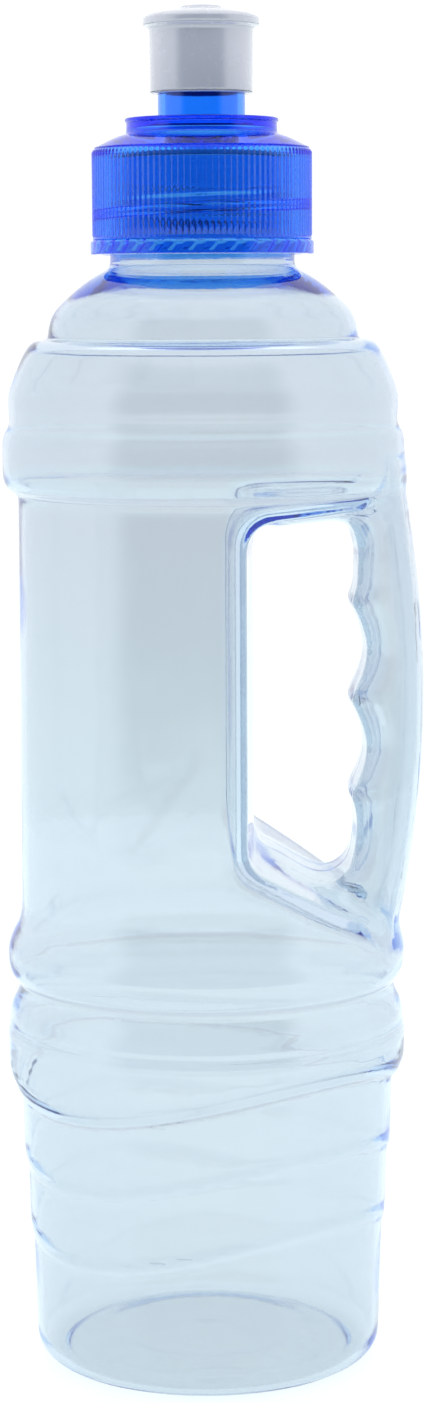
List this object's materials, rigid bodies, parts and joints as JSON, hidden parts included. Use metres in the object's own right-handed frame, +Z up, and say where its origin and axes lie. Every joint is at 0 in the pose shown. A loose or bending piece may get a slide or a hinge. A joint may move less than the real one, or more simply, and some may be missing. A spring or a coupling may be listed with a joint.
{
  "type": "sports squeeze bottle",
  "caption": "Clear squeeze bottle with a moulded side grip and finger hole, wide bands, a ribbed screw cap and a push-pull drinking spout.",
  "frame": {"origin": "where the bottle's axis meets the plane it stands on", "axes": "+Z up along the bottle's axis, +X from the axis towards the side grip, +Y across the finger hole"},
  "size_m": [0.081, 0.0772, 0.2618],
  "materials": {
    "clear_body": "clear, faintly blue, glossy blown wall",
    "blue_cap": "translucent blue, glossy",
    "liner_foam": "matt white foam",
    "white_spout": "satin to glossy white"
  },
  "bodies": {
    "container": {"bottle": "clear_body"},
    "seal": {"sealing_liner": "liner_foam"},
    "cap": {"screw_cap": "blue_cap"},
    "spout": {"push_pull_spout": "white_spout"}
  },
  "joints": [
    {"name": "cap_lift", "type": "slide", "parent": "container", "child": "seal", "axis": [0, 0, 1], "range_m": [0, 0.0212]},
    {"name": "cap_turn", "type": "hinge", "parent": "seal", "child": "cap", "pos_m": [0, 0, 0.226], "axis": [0, 0, 1], "range_deg": [0, 1800]},
    {"name": "spout_push", "type": "slide", "parent": "cap", "child": "spout", "axis": [0, 0, -1], "range_m": [0, 0.0044]}
  ],
  "couplings": [
    {"joint": "cap_lift", "follows": "cap_turn", "m_per_rad": 0.0006737}
  ]
}
